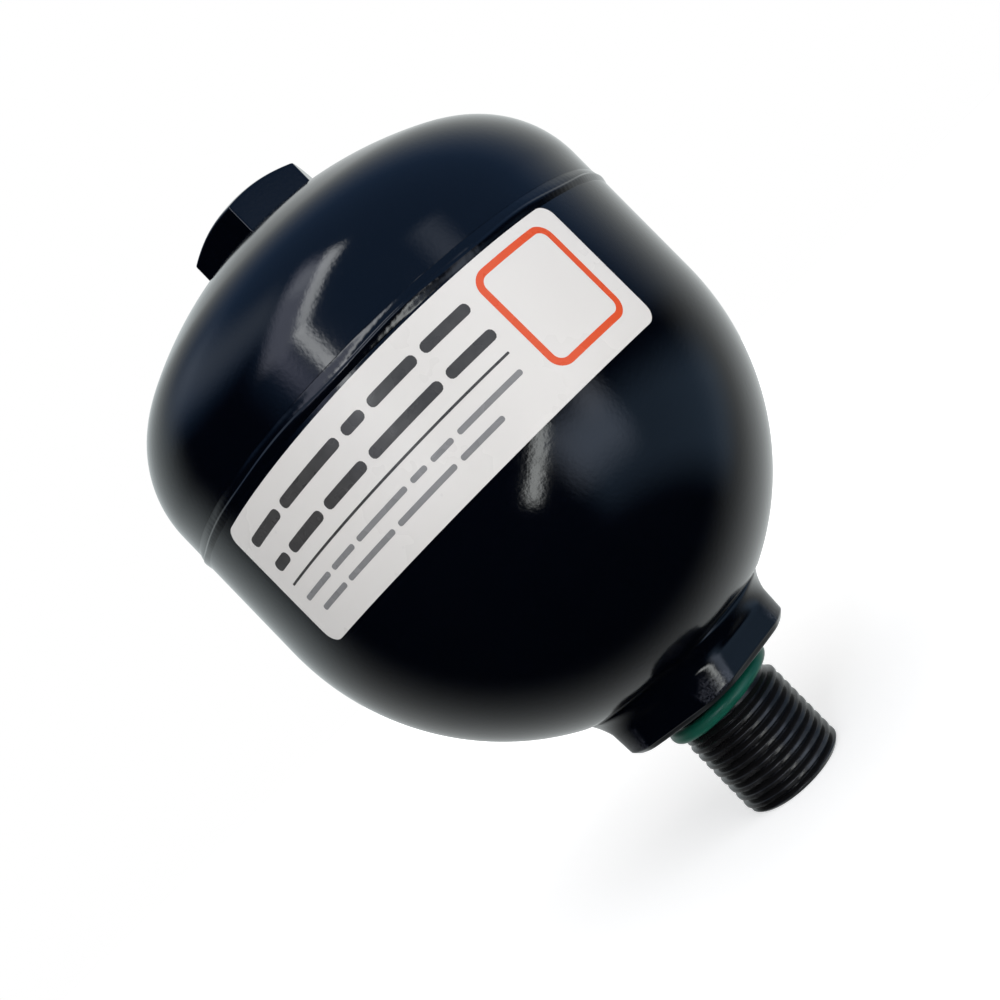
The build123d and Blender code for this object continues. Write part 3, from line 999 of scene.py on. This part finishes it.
def between(value, low, high, softness):
    """1 where a value lies from low to high, falling to 0 over softness on both sides."""
    rising = ramp(tree, value, low - softness / 2, low + softness / 2)
    falling = ramp(tree, value, high - softness / 2, high + softness / 2, 1.0, 0.0)
    return product(tree, rising, falling)


def toward(at):
    """Direction of an azimuth and an elevation in degrees, azimuth zero being the camera's side."""
    a, e = math.radians(at[0]), math.radians(at[1])
    return Vector((math.sin(a) * math.cos(e), -math.cos(a) * math.cos(e), math.sin(e)))


def window(start, stop, width, softness, end_softness):
    """Share of a soft-edged strip of wall from one direction to another: how far a direction is
    off the great circle through both ends, and how far along it, in degrees."""
    first, last = toward(start), toward(stop)
    pole = first.cross(last).normalized()
    middle = (first + last).normalized()
    along_axis = pole.cross(middle)
    length = math.degrees(first.angle(last))
    sums = []
    for axis in (pole, along_axis, middle):
        node = put_node(tree, "ShaderNodeVectorMath", {0: direction, 1: axis}, operation="DOT_PRODUCT")
        sums.append(node.outputs["Value"])
    off = product(tree, calculate(tree, "ARCSINE", sums[0]), to_degrees)
    along = product(tree, calculate(tree, "ARCTAN2", sums[1], sums[2]), to_degrees)
    strip = between(off, -width / 2, width / 2, softness)
    return product(tree, strip, between(along, -length / 2, length / 2, end_softness))


def add_light(so_far, share, colour):
    """Adds a colour, times a share, to the light so far."""
    tinted = put_node(tree, "ShaderNodeVectorMath", {0: colour, "Scale": share}, operation="SCALE").outputs[0]
    return put_node(tree, "ShaderNodeVectorMath", {0: so_far, 1: tinted}, operation="ADD").outputs[0]


# The bright room behind, dimmer to the left, then the blue walls and ceiling in front.
depth, side = parts["Y"], parts["X"]
behind = product(tree, ramp(tree, depth, 0.02, 0.9), ramp(tree, side, -0.6, 0.6, 0.53, 0.86))
light = add_light((0.0, 0.0, 0.0), behind, (0.95, 1.0, 1.0))
upper = product(tree, ramp(tree, elevation, -4.0, 14.0), ramp(tree, azimuth, -56.0, -28.0))
high = calculate(tree, "MAXIMUM", upper, ramp(tree, elevation, 26.0, 48.0))
blue = product(tree, high, ramp(tree, depth, 0.1, 0.7, 1.0, 0.0))
light = add_light(light, blue, (0.11, 0.21, 0.41))

# Dim stretches of wall. Each has its azimuths and elevations as low, high and softness in degrees,
# and its colour.
right_low = ((24.0, 112.0, 20.0), (-43.0, -12.0, 18.0), (0.2, 0.31, 0.46))
left_high = ((-118.0, -22.0, 28.0), (44.0, 64.0, 20.0), (0.34, 0.36, 0.37))
left_back = ((-178.0, -108.0, 26.0), (-4.0, 40.0, 22.0), (0.13, 0.16, 0.17))
for azimuths, elevations, colour in (right_low, left_high, left_back):
    share = product(tree, between(azimuth, *azimuths), between(elevation, *elevations))
    light = add_light(light, share, colour)

# The window's upright and slanting panes with their halo, then the patches low on the right. Each
# has its two ends as azimuth and elevation, its width and the softness of its sides and ends in
# degrees, and its colour.
strips = [
    ((-17.6, 7), (-17.6, 25), 6.6, 4.5, 3.0, (6.0, 6.1, 6.1)),
    ((-16, 25), (20, 52), 7.0, 4.5, 7.0, (4.7, 4.8, 4.8)),
    ((-34, 19), (9, 57), 15.0, 9.0, 12.0, (1.15, 1.15, 1.35)),
    ((-12, 48), (6, 54), 9.0, 8.0, 9.0, (0.85, 0.9, 0.9)),
    ((-30, 2), (-30, 19), 9.0, 11.0, 8.0, (0.62, 0.6, 0.75)),
    ((0.5, -22.5), (24, -4), 4.8, 3.5, 6.0, (5.6, 5.8, 5.7)),
    ((20, -19), (51, -17), 22.0, 16.0, 14.0, (0.8, 0.9, 1.1)),
    ((45.5, -12), (45.5, 17), 12.0, 12.0, 14.0, (0.58, 0.62, 0.7)),
    ((29, -2), (29, 9), 3.5, 3.0, 3.0, (2.0, 2.0, 2.0)),
]
for *strip, colour in strips:
    light = add_light(light, window(*strip), colour)


def background_light(colour, strength):
    """Even light of one colour from all round."""
    inputs = {"Color": colour, "Strength": strength}
    return put_node(tree, "ShaderNodeBackground", inputs).outputs["Background"]


def choose(share, first, second):
    """First shader where share is 0, second where it is 1."""
    return put_node(tree, "ShaderNodeMixShader", {0: share, 1: first, 2: second}).outputs[0]


# Gloss shows the room, matt surfaces take plain light, and the camera sees white.
room = tree.nodes["Background"]
tree.links.new(light, room.inputs["Color"])
white = background_light((1, 1, 1, 1), 1.0)
plain = background_light((1.0, 0.99, 0.98, 1), 0.32)
path = put_node(tree, "ShaderNodeLightPath").outputs
lit = choose(path["Is Diffuse Ray"], room.outputs["Background"], plain)
seen = choose(path["Is Camera Ray"], lit, white)
tree.links.new(seen, tree.nodes["World Output"].inputs["Surface"])

vessel_middle = Vector((0, 0, 0.06))


def lamp(name, azimuth, elevation, distance, width, height, level):
    """Rectangular soft lamp facing the vessel, azimuth to the right of the camera's side. Its power
    is level times pi times its area, so level is its brightness. Gloss doesn't show it."""
    data = bpy.data.lights.new(name, "AREA")
    data.shape = "RECTANGLE"
    data.size = width
    data.size_y = height
    data.energy = level * math.pi * width * height
    piece = bpy.data.objects.new(name, data)
    bpy.context.scene.collection.objects.link(piece)
    facing_lamp = toward((azimuth, elevation)).to_track_quat("Z", "Y").to_matrix()
    middle = vessel_middle + toward((azimuth, elevation)) * distance
    piece.matrix_world = Matrix.Translation(middle) @ facing_lamp.to_4x4()
    piece.visible_glossy = False


lamp("fill_right", azimuth=42.0, elevation=22.0, distance=1.0, width=0.9, height=0.9, level=1.9)
lamp("fill_left", azimuth=-35.0, elevation=24.0, distance=1.0, width=0.9, height=0.9, level=0.75)
lamp("fill_top", azimuth=0.0, elevation=85.0, distance=1.0, width=1.0, height=1.0, level=0.7)

bpy.context.scene.view_settings.view_transform = "Standard"
